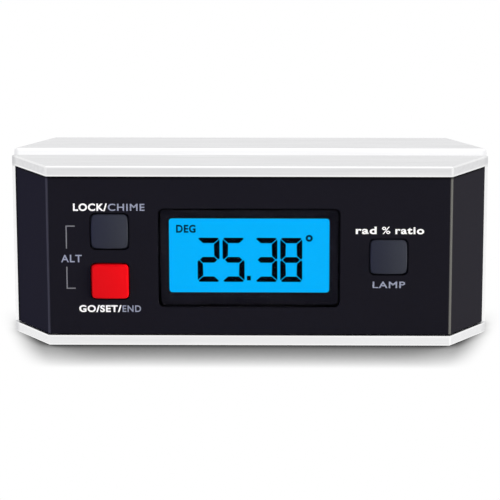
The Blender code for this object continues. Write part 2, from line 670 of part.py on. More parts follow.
def circuit_board():
    """Glass-epoxy board on four posts of the front cover, with the parts on its back."""
    green = material("solder mask", "#1F5A34", 0.35)
    outline = span(-BOARD_HALF, BOARD_HALF, BOARD_LOW, BOARD_HIGH)
    body = prism("circuit_board", outline, "Y", -BOARD_FRONT, -BOARD_BACK, green)
    tools = []
    for x in (-POST_X, POST_X):
        for z in POST_HEIGHTS:
            hole = circle(BOARD_SCREW_RADIUS + GAP, x, z)
            tools.append(prism("board hole", hole, "Y", -BOARD_FRONT - CUT_PAST, -BOARD_BACK + CUT_PAST))
    cut(body, tools)


def board_parts():
    """On the back of the board: the buzzer, the tilt sensor and the lead socket in an even row, and the controller
    above the sensor."""
    foot = -BOARD_BACK + GAP
    black = material("black epoxy", "#141416", 0.55)
    free = SOCKET_X - SOCKET_WIDTH / 2 + BOARD_HALF - 2 * BUZZER_RADIUS - SENSOR_SIZE
    buzzer_x = -BOARD_HALF + free / 3 + BUZZER_RADIUS
    can = [(BUZZER_RADIUS, 0.0), (BUZZER_RADIUS, BUZZER_HEIGHT)]
    turned("buzzer", can, black, (buzzer_x, foot, MIDDLE), LARGE_ROUND)
    sensor_x = buzzer_x + BUZZER_RADIUS + free / 3 + SENSOR_SIZE / 2
    can_outline = rounded(SENSOR_SIZE / 2, SENSOR_SIZE / 2, EDGE_BREAK * 4, sensor_x, MIDDLE)
    prism("tilt_sensor", can_outline, "Y", foot, foot + SENSOR_HEIGHT, zinc_steel())
    chip_z = MIDDLE + SENSOR_SIZE / 2 + CHIP_SPACING + CHIP_SIZE / 2
    chip = rectangle(CHIP_SIZE / 2, CHIP_SIZE / 2, sensor_x, chip_z)
    prism("controller_chip", chip, "Y", foot, foot + CHIP_THICKNESS, black)

    nylon = material("white nylon", "#E9E6DA", 0.5)
    block = rectangle(SOCKET_WIDTH / 2, SOCKET_LENGTH / 2, SOCKET_X, MIDDLE)
    socket = prism("lead_socket", block, "Y", foot, foot + SOCKET_HEIGHT, nylon)
    tools = []
    for side in (-1, 1):
        hole = circle(LEAD_RADIUS + GAP, SOCKET_X, MIDDLE + side * LEAD_PIN_SPACING / 2, 12)
        hole_end = foot + SOCKET_HEIGHT - LEAD_SEATED - GAP
        tools.append(prism("socket hole", hole, "Y", hole_end, foot + SOCKET_HEIGHT + CUT_PAST))
    cut(socket, tools)


def battery():
    """Nine volt block with a small and a large stud on its inner end."""
    half_depth = BATTERY_DEPTH / 2
    outline = rounded(half_depth, BATTERY_HEIGHT / 2, BATTERY_CORNER, BATTERY_AXIS, MIDDLE)
    wrap = material("steel jacket", "#8C9096", 0.3, 1.0)
    body = prism("battery", outline, "X", BATTERY_LEFT, BATTERY_RIGHT, wrap)
    join(body, [stud(side, 0.0, BATTERY_LEFT + OVERLAP) for side in (-1, 1)])


def stud(side, margin, right):
    """The stud above or below the middle, or its socket where a margin is given."""
    radius = LARGE_STUD_RADIUS if side < 0 else SMALL_STUD_RADIUS
    outline = circle(radius + margin, BATTERY_AXIS, MIDDLE + side * STUD_SPACING / 2)
    return prism("battery stud", outline, "X", BATTERY_LEFT - STUD_HEIGHT - margin, right)


def battery_snap():
    outline = rounded(SNAP_DEPTH / 2, SNAP_HEIGHT / 2, BATTERY_CORNER, BATTERY_AXIS, MIDDLE)
    vinyl = material("black vinyl", "#1A1A1A", 0.6)
    body = prism("battery_snap", outline, "X", SNAP_LEFT, SNAP_RIGHT, vinyl)
    tools = [stud(side, GAP, SNAP_RIGHT + CUT_PAST) for side in (-1, 1)]
    for side in (-1, 1):
        hole = circle(LEAD_RADIUS + GAP, BATTERY_AXIS, MIDDLE + side * LEAD_SPACING / 2, 12)
        hole_end = SNAP_LEFT + LEAD_SEATED + GAP
        tools.append(prism("lead hole", hole, "X", SNAP_LEFT - CUT_PAST, hole_end))
    cut(body, tools)


def battery_leads():
    """Two short leads: out of the snap along the length, round in one sweep, and down into the board's socket."""
    foot = -BOARD_BACK + GAP + SOCKET_HEIGHT
    for name, side, colour in (("red_lead", 1, "#B01818"), ("black_lead", -1, "#161616")):
        start = Vector((SNAP_LEFT + LEAD_SEATED, BATTERY_AXIS, MIDDLE + side * LEAD_SPACING / 2))
        end = Vector((SOCKET_X, foot - LEAD_SEATED, MIDDLE + side * LEAD_PIN_SPACING / 2))
        leave = Vector((SOCKET_X - start.x, 0.0, 0.0))
        arrive = Vector((0.0, (start.y - end.y) * 0.7, 0.0))
        route = interpolate_bezier(start, start + leave, end + arrive, end, 16)
        curve = bpy.data.curves.new(name, "CURVE")
        curve.dimensions = "3D"
        curve.bevel_depth = LEAD_RADIUS
        curve.bevel_resolution = 2
        curve.use_fill_caps = True
        line = curve.splines.new("POLY")
        line.points.add(len(route) - 1)
        for point, place in zip(line.points, route):
            point.co = (*place, 1.0)
        place_object(name, curve, material(f"{name} vinyl", colour, 0.5))


def screw_mesh(name, radius, length, head_radius, head_height):
    """A pan head screw along -Y with its seat at the origin: shank, point, head with a rounded rim."""
    rim = head_height / 3
    profile = [
        (radius / 2, -length),
        (radius, -length + radius),
        (radius, 0.0),
        (head_radius, 0.0),
        (head_radius, head_height - rim),
        (head_radius - rim, head_height),
    ]
    made = turned(name, profile)
    mesh = made.data
    bpy.data.objects.remove(made)
    return mesh


def screws():
    case_mesh = screw_mesh("case screw", CASE_SCREW_RADIUS, CASE_SCREW_LENGTH, CASE_HEAD_RADIUS, CASE_HEAD_HEIGHT)
    board_mesh = screw_mesh(
        "board screw", BOARD_SCREW_RADIUS, BOARD_SCREW_LENGTH, BOARD_HEAD_RADIUS, BOARD_HEAD_HEIGHT
    )
    kinds = (
        ("case_screw", case_mesh, BOSS_X, CASE_SEAT + 3 * GAP, BOSS_HEIGHTS),
        ("board_screw", board_mesh, POST_X, -BOARD_BACK + GAP, POST_HEIGHTS),
    )
    for name, mesh, place_x, seat, heights in kinds:
        places = [(side * place_x, seat, z) for side in (-1, 1) for z in heights]
        for number, place in enumerate(places, 1):
            place_object(f"{name}_{number}", mesh, zinc_steel(), place)


def clear_scene():
    for item in list(bpy.data.objects):
        bpy.data.objects.remove(item)


clear_scene()
frame()
magnets()
front_cover()
rear_cover()
battery_door()
lens()
display()
keys()
circuit_board()
board_parts()
battery()
battery_snap()
battery_leads()
screws()
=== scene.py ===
"""The looks of a digital angle gauge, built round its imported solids.

Metres, +Z up. X runs along the length, the display faces -Y, and the gauge stands at Z = 0.
"""

import math

import bmesh
import bpy
import numpy as np
from mathutils import Matrix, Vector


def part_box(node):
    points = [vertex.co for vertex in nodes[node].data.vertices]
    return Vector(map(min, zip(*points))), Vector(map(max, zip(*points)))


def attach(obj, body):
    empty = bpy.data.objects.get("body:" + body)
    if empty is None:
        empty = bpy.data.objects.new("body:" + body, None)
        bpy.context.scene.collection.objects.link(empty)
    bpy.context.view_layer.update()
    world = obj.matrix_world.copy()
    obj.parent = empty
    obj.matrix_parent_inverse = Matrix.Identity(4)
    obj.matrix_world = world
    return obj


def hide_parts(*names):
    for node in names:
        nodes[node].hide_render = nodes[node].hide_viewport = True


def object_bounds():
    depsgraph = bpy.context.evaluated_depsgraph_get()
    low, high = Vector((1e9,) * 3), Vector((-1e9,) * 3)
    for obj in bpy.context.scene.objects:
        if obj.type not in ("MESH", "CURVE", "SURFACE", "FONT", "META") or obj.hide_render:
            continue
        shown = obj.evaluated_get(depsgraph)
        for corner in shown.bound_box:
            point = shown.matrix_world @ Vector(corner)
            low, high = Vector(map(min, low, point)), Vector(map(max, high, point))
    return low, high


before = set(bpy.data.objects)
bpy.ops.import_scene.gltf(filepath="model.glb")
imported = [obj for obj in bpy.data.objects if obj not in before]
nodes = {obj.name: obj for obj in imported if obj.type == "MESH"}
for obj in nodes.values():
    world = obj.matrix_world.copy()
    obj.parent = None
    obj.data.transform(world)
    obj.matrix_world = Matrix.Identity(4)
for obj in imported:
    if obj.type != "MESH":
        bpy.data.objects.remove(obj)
cad_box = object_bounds()


# The frame is one ring of aluminium: two flat plates joined by narrow end walls, with a V-groove milled
# along the top and the bottom for pipes. It is machined all over, its edges are broken, and then it is
# blasted with fine beads and clear anodised.

MM = 0.001


def linear(hex_colour):
    """An sRGB hex value as the linear RGBA that shaders take."""
    channels = np.array([int(hex_colour[i : i + 2], 16) for i in (1, 3, 5)]) / 255
    low = channels / 12.92
    high = ((channels + 0.055) / 1.055) ** 2.4
    return [*np.where(channels <= 0.04045, low, high).tolist(), 1.0]


def add_node(tree, kind, settings=None, links=None):
    """Adds one node; settings are its properties or unlinked inputs, links the outputs its inputs take."""
    node = tree.nodes.new(kind)
    for name, value in (settings or {}).items():
        if isinstance(name, str) and hasattr(node, name):
            setattr(node, name, value)
        else:
            node.inputs[name].default_value = value
    for name, output in (links or {}).items():
        tree.links.new(output, node.inputs[name])
    return node


def surface(name, colour, roughness, grain, depth, mottle=0.04, patch=6 * MM, drawn=1.0, **settings):
    """A finish with fine grain in its relief and faint patches in its colour and roughness.

    grain is the width of one grain and depth its height, patch the width of one patch, all in metres. mottle
    is how far the patches move the colour and the roughness, and drawn is how many times longer than wide
    they are, along X.
    """
    finish = bpy.data.materials.new(name)
    finish.use_nodes = True
    tree = finish.node_tree
    shader = tree.nodes["Principled BSDF"]
    place = add_node(tree, "ShaderNodeTexCoord").outputs["Object"]
    along = add_node(tree, "ShaderNodeMapping", {"Scale": (1 / drawn, 1.0, 1.0)}, {"Vector": place})
    patches = add_node(
        tree, "ShaderNodeTexNoise", {"Scale": 0.5 / patch, "Detail": 3.0}, {"Vector": along.outputs["Vector"]}
    ).outputs["Fac"]
    grains = add_node(
        tree, "ShaderNodeTexNoise", {"Scale": 0.5 / grain, "Detail": 2.0}, {"Vector": place}
    ).outputs["Fac"]
    shade_range = {"To Min": 1 - mottle, "To Max": 1 + mottle}
    shades = add_node(tree, "ShaderNodeMapRange", shade_range, {"Value": patches}).outputs["Result"]
    tone = add_node(tree, "ShaderNodeHueSaturation", {"Color": linear(colour)}, {"Value": shades})
    sheen_range = {"To Min": roughness - mottle, "To Max": roughness + mottle}
    sheen = add_node(tree, "ShaderNodeMapRange", sheen_range, {"Value": patches})
    relief = add_node(tree, "ShaderNodeBump", {"Strength": 0.5, "Distance": depth}, {"Height": grains})
    tree.links.new(tone.outputs["Color"], shader.inputs["Base Color"])
    tree.links.new(sheen.outputs["Result"], shader.inputs["Roughness"])
    tree.links.new(relief.outputs["Normal"], shader.inputs["Normal"])
    for socket, value in settings.items():
        shader.inputs[socket.replace("_", " ")].default_value = value
    return finish


def put_piece(name, mesh, finish, body, stands_for=()):
    """Adds a piece with its finish, rides it on its body, and hides the CAD nodes that it stands for."""
    piece = bpy.data.objects.new(name, mesh)
    bpy.context.scene.collection.objects.link(piece)
    mesh.materials.clear()
    mesh.materials.append(finish)
    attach(piece, body)
    if stands_for:
        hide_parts(*stands_for)
    return piece


def whole_mesh(node, name):
    """A copy of a CAD node's mesh with its loose triangles merged and each flat side made one face again."""
    shape = bmesh.new()
    shape.from_mesh(nodes[node].data)
    bmesh.ops.remove_doubles(shape, verts=shape.verts, dist=0.001 * MM)
    bmesh.ops.dissolve_limit(shape, angle_limit=math.radians(0.5), verts=shape.verts, edges=shape.edges)
    mesh = bpy.data.meshes.new(name)
    shape.to_mesh(mesh)
    shape.free()
    stored = mesh.attributes.get("custom_normal")
    if stored:
        mesh.attributes.remove(stored)
    mesh.shade_smooth()
    return mesh


def soften(piece, width):
    """Rounds every edge sharper than a fine facet by this width, and shades the broad faces flat up to it."""
    bevel = piece.modifiers.new("broken edges", "BEVEL")
    bevel.width = width
    bevel.segments = 2
    bevel.limit_method = "ANGLE"
    bevel.angle_limit = math.radians(28)
    bevel.miter_outer = "MITER_ARC"
    flat = piece.modifiers.new("flat faces", "WEIGHTED_NORMAL")
    flat.weight = 100


def mix_tone(finish, colour, amount):
    """Lays a second colour over a finish's own, by an amount from 0 to 1 that an output gives."""
    tree = finish.node_tree
    base = tree.nodes["Principled BSDF"].inputs["Base Color"]
    under = base.links[0].from_socket
    mixed = add_node(tree, "ShaderNodeMixRGB", {2: linear(colour)}, {0: amount, 1: under})
    tree.links.new(mixed.outputs[0], base)


def band(tree, value, level, width):
    """1 where a value is within 0.4 width of a level, falling to 0 at one width."""
    off = add_node(tree, "ShaderNodeMath", {"operation": "SUBTRACT", 1: level}, {0: value})
    gap = add_node(tree, "ShaderNodeMath", {"operation": "ABSOLUTE"}, {0: off.outputs[0]})
    near = {"From Min": width, "From Max": 0.4 * width}
    return add_node(tree, "ShaderNodeMapRange", near, {"Value": gap.outputs[0]})


def frame_places(tree, plate):
    """Where a point lies on the frame: x, |x|, z and its height from the middle of the nearer plate.

    That height is | |z - middle| - (high - plate) / 2 |, with middle and high of the whole frame.
    """
    middle = (cad_box[0][2] + cad_box[1][2]) / 2
    half = (cad_box[1][2] - cad_box[0][2]) / 2
    place = add_node(tree, "ShaderNodeTexCoord").outputs["Object"]
    spot = add_node(tree, "ShaderNodeSeparateXYZ", None, {"Vector": place}).outputs
    height = spot["Z"]
    for level in (middle, half - plate / 2):
        off = add_node(tree, "ShaderNodeMath", {"operation": "SUBTRACT", 1: level}, {0: height})
        height = add_node(tree, "ShaderNodeMath", {"operation": "ABSOLUTE"}, {0: off.outputs[0]}).outputs[0]
    across = add_node(tree, "ShaderNodeMath", {"operation": "ABSOLUTE"}, {0: spot["X"]}).outputs[0]
    return spot["X"], across, spot["Z"], height


def squareness(tree, axis):
    """How squarely a face looks along an axis, from 0 to 1: the size of its normal's part along it."""
    normal = add_node(tree, "ShaderNodeTexCoord").outputs["Normal"]
    part = add_node(tree, "ShaderNodeSeparateXYZ", None, {"Vector": normal}).outputs[axis]
    return add_node(tree, "ShaderNodeMath", {"operation": "ABSOLUTE"}, {0: part}).outputs[0]


def paint_edge_highlights(finish, plate, corner_run, end_wall, width):
    """Paints highlights into the metal's colour in near-white, standing in for light that catches the frame.

    That is along the edges of both plates, and along the upright edges where their corners are cut off,
    painted brighter towards +X, and on the end walls. The lower plate gets a little painted reflection all
    over. Only faces that stand more or less upright count.
    """
    left_corner_highlight = 0.4
    lower_plate_reflection_amount = 0.27
    tree = finish.node_tree
    reach = cad_box[1][0]
    x, across, z, height = frame_places(tree, plate)
    tilt = squareness(tree, "Z")
    times = {"operation": "MULTIPLY"}
    larger = {"operation": "MAXIMUM"}
    rim_highlights = band(tree, height, plate / 2, width)

    corner_highlights = band(tree, across, reach - corner_run, 0.7 * width)
    brighter_at_right = {"From Min": -reach, "From Max": reach, "To Min": left_corner_highlight}
    side = add_node(tree, "ShaderNodeMapRange", brighter_at_right, {"Value": x})
    steep = add_node(tree, "ShaderNodeMapRange", {"From Min": 0.5, "From Max": 0.3}, {"Value": tilt})
    for part in (side, steep):
        corner_highlights = add_node(tree, "ShaderNodeMath", times, {0: corner_highlights.outputs[0], 1: part.outputs[0]})

    between = add_node(tree, "ShaderNodeMath", {"operation": "GREATER_THAN", 1: plate / 2}, {0: height})
    at_end = add_node(tree, "ShaderNodeMath", {"operation": "GREATER_THAN", 1: reach - end_wall}, {0: across})
    ends = add_node(tree, "ShaderNodeMath", times, {0: between.outputs[0], 1: at_end.outputs[0]})

    lower = {"From Min": 1.5 * plate, "From Max": plate, "To Max": lower_plate_reflection_amount}
    lower_plate_reflection = add_node(tree, "ShaderNodeMapRange", lower, {"Value": z})
    most = rim_highlights
    for part in (corner_highlights, ends, lower_plate_reflection):
        most = add_node(tree, "ShaderNodeMath", larger, {0: most.outputs[0], 1: part.outputs[0]})
    upright = add_node(tree, "ShaderNodeMapRange", {"From Min": 0.9, "From Max": 0.6}, {"Value": tilt})
    amount = add_node(tree, "ShaderNodeMath", times, {0: most.outputs[0], 1: upright.outputs[0]})
    # The near-white mixed in here is painted highlight and painted reflection.
    mix_tone(finish, "#FDFDFD", amount.outputs[0])


def paint_tip_shade(finish, plate, width):
    """Paints shade in grey on the outer ends of the plates' slanted corners, as far as two widths, more at -X
    than at +X.
    """
    tip_shade_left = 0.42
    tip_shade_right = 0.2
    tree = finish.node_tree
    reach = cad_box[1][0]
    x, across, _, height = frame_places(tree, plate)
    tip = band(tree, across, reach, 2 * width)
    in_plate = add_node(tree, "ShaderNodeMath", {"operation": "LESS_THAN", 1: 0.6 * plate}, {0: height})
    end_face = {"From Min": 0.95, "From Max": 0.85}
    slanted = add_node(tree, "ShaderNodeMapRange", end_face, {"Value": squareness(tree, "X")})
    tip_shade_range = {"From Min": -reach, "From Max": reach, "To Min": tip_shade_left, "To Max": tip_shade_right}
    amount = add_node(tree, "ShaderNodeMapRange", tip_shade_range, {"Value": x})
    times = {"operation": "MULTIPLY"}
    for part in (tip, slanted, in_plate):
        amount = add_node(tree, "ShaderNodeMath", times, {0: amount.outputs[0], 1: part.outputs[0]})
    # The grey mixed in here is painted shade.
    mix_tone(finish, "#B4B4B8", amount.outputs[0])


# Drawn aluminium, bead-blasted and clear anodised: pale satin metal with faint streaks along the length. The
# bead marks of 0.1 mm are drawn at 0.25 mm, because finer ones don't show.
PLATE = 3.3 * MM
CORNER_RUN = 12 * MM
END_WALL = 3.4 * MM
PAINTED_EDGE_WIDTH = 0.75 * MM
BROKEN_EDGE = 0.12 * MM
blasted_aluminium = surface(
    "blasted aluminium",
    "#E8E8E9",
    0.4,
    0.25 * MM,
    0.006 * MM,
    mottle=0.1,
    patch=0.5 * MM,
    drawn=30.0,
    Metallic=1.0,
)
# Painted highlights on the frame's edges, cut corners and end walls, and a painted reflection on its lower
# plate.
paint_edge_highlights(blasted_aluminium, PLATE, CORNER_RUN, END_WALL, PAINTED_EDGE_WIDTH)
# Painted shade at the outer tips of the plates.
paint_tip_shade(blasted_aluminium, PLATE, PAINTED_EDGE_WIDTH)
ring_mesh = whole_mesh("frame", "frame ring")
ring = put_piece("frame_ring", ring_mesh, blasted_aluminium, "housing", ["frame"])
soften(ring, BROKEN_EDGE)


# Four nickel-plated disc magnets sit in pockets of the lower plate, glued in flush.


def dress(node, finish):
    """Gives a CAD node that stays visible its finish."""
    for place in nodes[node].material_slots:
        place.material = finish


# Bright nickel over a sintered magnet: smooth, faintly warm metal.
nickel_plate = surface("nickel plate", "#CFCBC2", 0.22, 0.3 * MM, 0.002 * MM, Metallic=1.0)
for number in range(1, 5):
    dress(f"magnet_{number}", nickel_plate)


# The front cover is one moulding of black ABS: a flat face, two sloping ends, an opening for each key and a
# seat for the window. The mould's steel is finely spark-eroded, so the plastic is dark with hardly any gloss.


def fold_edges(mesh, fold_x):
    """Marks the long upright edges where a cover's face meets its sloping ends, for their own wider bevel."""
    ends = np.empty(len(mesh.edges) * 2, int)
    mesh.edges.foreach_get("vertices", ends)
    places = np.empty(len(mesh.vertices) * 3)
    mesh.vertices.foreach_get("co", places)
    pairs = places.reshape(-1, 3)[ends.reshape(-1, 2)]
    at_fold = (np.abs(np.abs(pairs[:, :, 0]) - fold_x) < 0.05 * MM).all(1)
    upright = np.abs(pairs[:, 0, 2] - pairs[:, 1, 2]) > 1 * MM
    weights = mesh.attributes.new("bevel_weight_edge", "FLOAT", "EDGE")
    weights.data.foreach_set("value", (at_fold & upright).astype(np.float32))


def round_folds(piece, fold_x, width):
    """The wide rounding along a moulding's folds, before its other edges are softened."""
    fold_edges(piece.data, fold_x)
    bevel = piece.modifiers.new("rounded folds", "BEVEL")
    bevel.width = width
    bevel.segments = 4
    bevel.limit_method = "WEIGHT"


def paint_fold_highlights(finish, fold_x, width, left, right):
    """Paints highlights into the plastic along its folds, standing in for light on their rounding, by left at
    -X and right at +X.

    The distance to a fold's rounding is | |x| - (fold_x + width / 3) |.
    """
    tree = finish.node_tree
    place = add_node(tree, "ShaderNodeTexCoord").outputs["Object"]
    along = add_node(tree, "ShaderNodeSeparateXYZ", None, {"Vector": place}).outputs["X"]
    reach = add_node(tree, "ShaderNodeMath", {"operation": "ABSOLUTE"}, {0: along})
    from_fold = {"operation": "SUBTRACT", 1: fold_x + width / 3}
    off = add_node(tree, "ShaderNodeMath", from_fold, {0: reach.outputs[0]})
    gap = add_node(tree, "ShaderNodeMath", {"operation": "ABSOLUTE"}, {0: off.outputs[0]})
    near = {"From Min": width, "From Max": 0.5 * width}
    fold_highlight_near = add_node(tree, "ShaderNodeMapRange", near, {"Value": gap.outputs[0]})
    fold_highlight_side = {"From Min": -fold_x, "From Max": fold_x, "To Min": left, "To Max": right}
    side = add_node(tree, "ShaderNodeMapRange", fold_highlight_side, {"Value": along})
    times = {"operation": "MULTIPLY"}
    amount = add_node(tree, "ShaderNodeMath", times, {0: fold_highlight_near.outputs[0], 1: side.outputs[0]})
    # The pale grey mixed in here is painted highlight.
    mix_tone(finish, "#8E8D96", amount.outputs[0])


def paint_gap_shade(finish, high, end, width, depth):
    """Paints shade on the last strip of plastic, by a share depth, under the upper plate and by the wall at
    -X.
    """
    tree = finish.node_tree
    place = add_node(tree, "ShaderNodeTexCoord").outputs["Object"]
    spot = add_node(tree, "ShaderNodeSeparateXYZ", None, {"Vector": place}).outputs
    top = band(tree, spot["Z"], high, width)
    left = band(tree, spot["X"], end, width)
    larger = {"operation": "MAXIMUM"}
    gap_shade_strip = add_node(tree, "ShaderNodeMath", larger, {0: top.outputs[0], 1: left.outputs[0]})
    amount = add_node(tree, "ShaderNodeMath", {"operation": "MULTIPLY", 1: depth}, {0: gap_shade_strip.outputs[0]})
    # The near-black mixed in here is painted shade.
    mix_tone(finish, "#060608", amount.outputs[0])


# Black ABS, spark-eroded grain of 0.2 mm: an even blue-black that takes only faint light at a slant. FOLD_X
# is where the covers' faces meet their sloping ends.
FOLD_X = 63.71 * MM
FOLD_ROUND = 0.5 * MM
GAP_SHADE = 0.9 * MM
cover_low, cover_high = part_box("front_cover")
black_abs = surface("black ABS", "#181720", 0.55, 0.2 * MM, 0.006 * MM, Specular_IOR_Level=0.02)
# Painted highlights along the folds, brighter at +X.
paint_fold_highlights(black_abs, FOLD_X, FOLD_ROUND, left=0.13, right=0.25)
# Painted shade under the upper plate and by the wall at -X.
paint_gap_shade(black_abs, cover_high.z, cover_low.x, GAP_SHADE, depth=0.7)
front_mesh = whole_mesh("front_cover", "front moulding")
front = put_piece("front_moulding", front_mesh, black_abs, "housing", ["front_cover"])
round_folds(front, FOLD_X, FOLD_ROUND)
soften(front, BROKEN_EDGE)


# The legends are screen printed on the front cover's face, part in white and part in grey-blue ink. They are
# plain words and a bracket that joins the two left keys. The window lies flush in that face.

FACE_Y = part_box("lens")[0].y
INK = 0.02 * MM
INK_SUNK = 0.005 * MM
FONT_CAP = 0.729


def words(name, text, left, right, baseline, cap_height, finish, weight, face=FACE_Y):
    """Words as thin closed letters on a face: built-in letters, fattened by weight and stretched to a box."""
    curve = bpy.data.curves.new(name, "FONT")
    curve.body = text
    curve.offset = weight
    curve.space_character = 1.12
    curve.extrude = 0.5
    source = bpy.data.objects.new(name, curve)
    bpy.context.scene.collection.objects.link(source)
    bpy.context.view_layer.update()
    mesh = bpy.data.meshes.new_from_object(source.evaluated_get(bpy.context.evaluated_depsgraph_get()))
    bpy.data.objects.remove(source)
    flat = np.empty(len(mesh.vertices) * 3)
    mesh.vertices.foreach_get("co", flat)
    across, up, out = flat.reshape(-1, 3).T
    x = left + (across - across.min()) / np.ptp(across) * (right - left)
    y = face + INK_SUNK - (out + 0.5) * (INK + INK_SUNK)
    z = baseline + up / FONT_CAP * cap_height
    mesh.vertices.foreach_set("co", np.stack([x, y, z], 1).ravel())
    mesh.update()
    put_piece(name, mesh, finish, "housing")


def plates(name, outlines, near, far, finish):
    """Thin closed plates on a face: each outline in XZ at near and at far, closed and joined by quads."""
    points = np.zeros((0, 3))
    faces = []
    for outline in outlines:
        x, z = np.array(outline).T
        front = len(points) + np.arange(len(x))
        back = front + len(x)
        sides = np.stack([np.roll(front, -1), front, back, np.roll(back, -1)], 1)
        faces += [front.tolist(), back[::-1].tolist(), *sides.tolist()]
        rings = [np.stack([x, np.full(len(x), depth), z], 1) for depth in (near, far)]
        points = np.concatenate([points, *rings])
    mesh = bpy.data.meshes.new(name)
    mesh.from_pydata(points.tolist(), [], faces)
    outward(mesh)
    put_piece(name, mesh, finish, "housing")


def outward(mesh):
    """Turns every face of a closed mesh outwards."""
    shape = bmesh.new()
    shape.from_mesh(mesh)
    bmesh.ops.recalc_face_normals(shape, faces=shape.faces)
    shape.to_mesh(mesh)
    shape.free()


def box_outline(left, right, low, high):
    """The four corners of an upright rectangle, in order round it."""
    return [(left, low), (right, low), (right, high), (left, high)]


# Matt screen inks on ABS: dense, slightly uneven films.
white_ink = surface("white screen ink", "#F4F2FD", 0.6, 0.3 * MM, 0.002 * MM, Specular_IOR_Level=0.2)
blue_ink = surface("grey-blue screen ink", "#8F93AF", 0.6, 0.3 * MM, 0.002 * MM, Specular_IOR_Level=0.2)
line_ink = surface("grey screen ink", "#767682", 0.6, 0.3 * MM, 0.002 * MM, Specular_IOR_Level=0.2)

# Each legend's words, its left and right end, its baseline and the height of its capitals in millimetres, its
# ink, and how far its strokes are fattened.
LEGENDS = {
    "legend_lock": ("LOCK/", -55.6, -44.9, 44.25, 2.35, white_ink, 0.032),
    "legend_chime": ("CHIME", -44.6, -33.0, 44.25, 2.35, blue_ink, 0.014),
    "legend_go": ("GO/SET/", -54.2, -40.7, 10.95, 2.2, white_ink, 0.036),
    "legend_end": ("END", -40.4, -34.5, 10.95, 2.2, blue_ink, 0.014),
    "legend_radians": ("rad", 33.7, 40.3, 36.85, 2.4, white_ink, 0.028),
    "legend_percent": ("%", 42.0, 44.6, 36.85, 2.4, white_ink, 0.012),
    "legend_ratio": ("ratio", 46.2, 55.3, 36.85, 2.4, white_ink, 0.028),
    "legend_lamp": ("LAMP", 39.2, 49.5, 19.05, 2.2, blue_ink, 0.014),
    "legend_adjust": ("ALT", -59.7, -53.1, 27.35, 2.5, blue_ink, 0.014),
}
for name, (text, left, right, baseline, cap_height, ink, weight) in LEGENDS.items():
    words(name, text, left * MM, right * MM, baseline * MM, cap_height * MM, ink, weight)

LINE = 0.36 * MM
BRACKET_X = -58.1 * MM
BRACKET_TIP = -55.2 * MM
BRACKET_LOW = 18.55 * MM
BRACKET_HIGH = 39.35 * MM
BREAK_LOW = 25.8 * MM
BREAK_HIGH = 31.8 * MM
bracket = [
    box_outline(BRACKET_X, BRACKET_X + LINE, BREAK_HIGH, BRACKET_HIGH),
    box_outline(BRACKET_X + LINE, BRACKET_TIP, BRACKET_HIGH - LINE, BRACKET_HIGH),
    box_outline(BRACKET_X, BRACKET_X + LINE, BRACKET_LOW, BREAK_LOW),
    box_outline(BRACKET_X + LINE, BRACKET_TIP, BRACKET_LOW, BRACKET_LOW + LINE),
]
plates("legend_bracket", bracket, FACE_Y - INK, FACE_Y + INK_SUNK, line_ink)


# The display is a liquid crystal cell, lit blue from behind through its light guide. Its dark figures are
# seven-segment numbers with thin gaps where the segments meet.

GLASS_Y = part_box("lcd_glass")[0].y
FIGURE = 0.03 * MM


def segment_outlines():
    """The seven segments of one figure in a cell 7 wide and 14.55 high, in millimetres.

    The top bar, the upper right stroke and the middle bar are drawn; the rest are mirror images of the first
    two about the cell's middle lines.
    """
    width = 7.0
    height = 14.55
    bar = np.array([(0.55, 14.55), (6.45, 14.55), (6.75, 14.13), (5.25, 12.77), (1.75, 12.77), (0.25, 14.13)])
    stroke = np.array([(6.87, 13.95), (7.0, 13.6), (7.0, 7.8), (6.58, 7.36), (5.3, 8.6), (5.2, 12.42)])
    middle = np.array(
        [(0.7, 7.275), (1.65, 8.225), (5.35, 8.225), (6.3, 7.275), (5.35, 6.325), (1.65, 6.325)]
    )
    flip = np.array([1, -1])
    low_bar = bar * flip + (0, height)
    low_stroke = stroke * flip + (0, height)
    swap = np.array([-1, 1])
    left_stroke = stroke * swap + (width, 0)
    low_left_stroke = low_stroke * swap + (width, 0)
    return [bar, stroke, low_stroke, low_bar, low_left_stroke, left_stroke, middle]


def figure_outlines(lit, left, low):
    """The lit segments of one figure, placed by its lower left corner."""
    shapes = segment_outlines()
    return [[(left + x * MM, low + z * MM) for x, z in shapes[i].tolist()] for i in lit]


def rounded_outline(half_x, half_z, radius, x=0.0, z=0.0, steps=9):
    """Points round a rectangle, with a quarter circle at each corner, centred one radius from its sides."""
    quarter = np.repeat(np.arange(4), steps)
    angle = (quarter + np.tile(np.linspace(0, 1, steps), 4)) * math.pi / 2
    side_x = np.array([1, -1, -1, 1])[quarter]
    side_z = np.array([1, 1, -1, -1])[quarter]
    across = x + side_x * (half_x - radius) + radius * np.cos(angle)
    up = z + side_z * (half_z - radius) + radius * np.sin(angle)
    return np.stack([across, up], 1)


def rim_plate(name, outer, inner, near, far, finish, slot):
    """A flat plate between two outlines of equal point counts: a four-cornered section carried round them."""
    count = len(outer)
    section = [(outer, near), (outer, far), (inner, far), (inner, near)]
    rings = [np.stack([line[:, 0], np.full(count, depth), line[:, 1]], 1) for line, depth in section]
    points = np.stack(rings, 1).reshape(-1, 3)
    around = np.arange(count)[:, None]
    corner = np.arange(4)[None, :]
    after = (around + 1) % count
    turn = (corner + 1) % 4
    quads = np.stack([around * 4 + corner, after * 4 + corner, after * 4 + turn, around * 4 + turn], 2)
    mesh = bpy.data.meshes.new(name)
    mesh.from_pydata(points.tolist(), [], quads.reshape(-1, 4).tolist())
    outward(mesh)
    put_piece(name, mesh, finish, "housing")


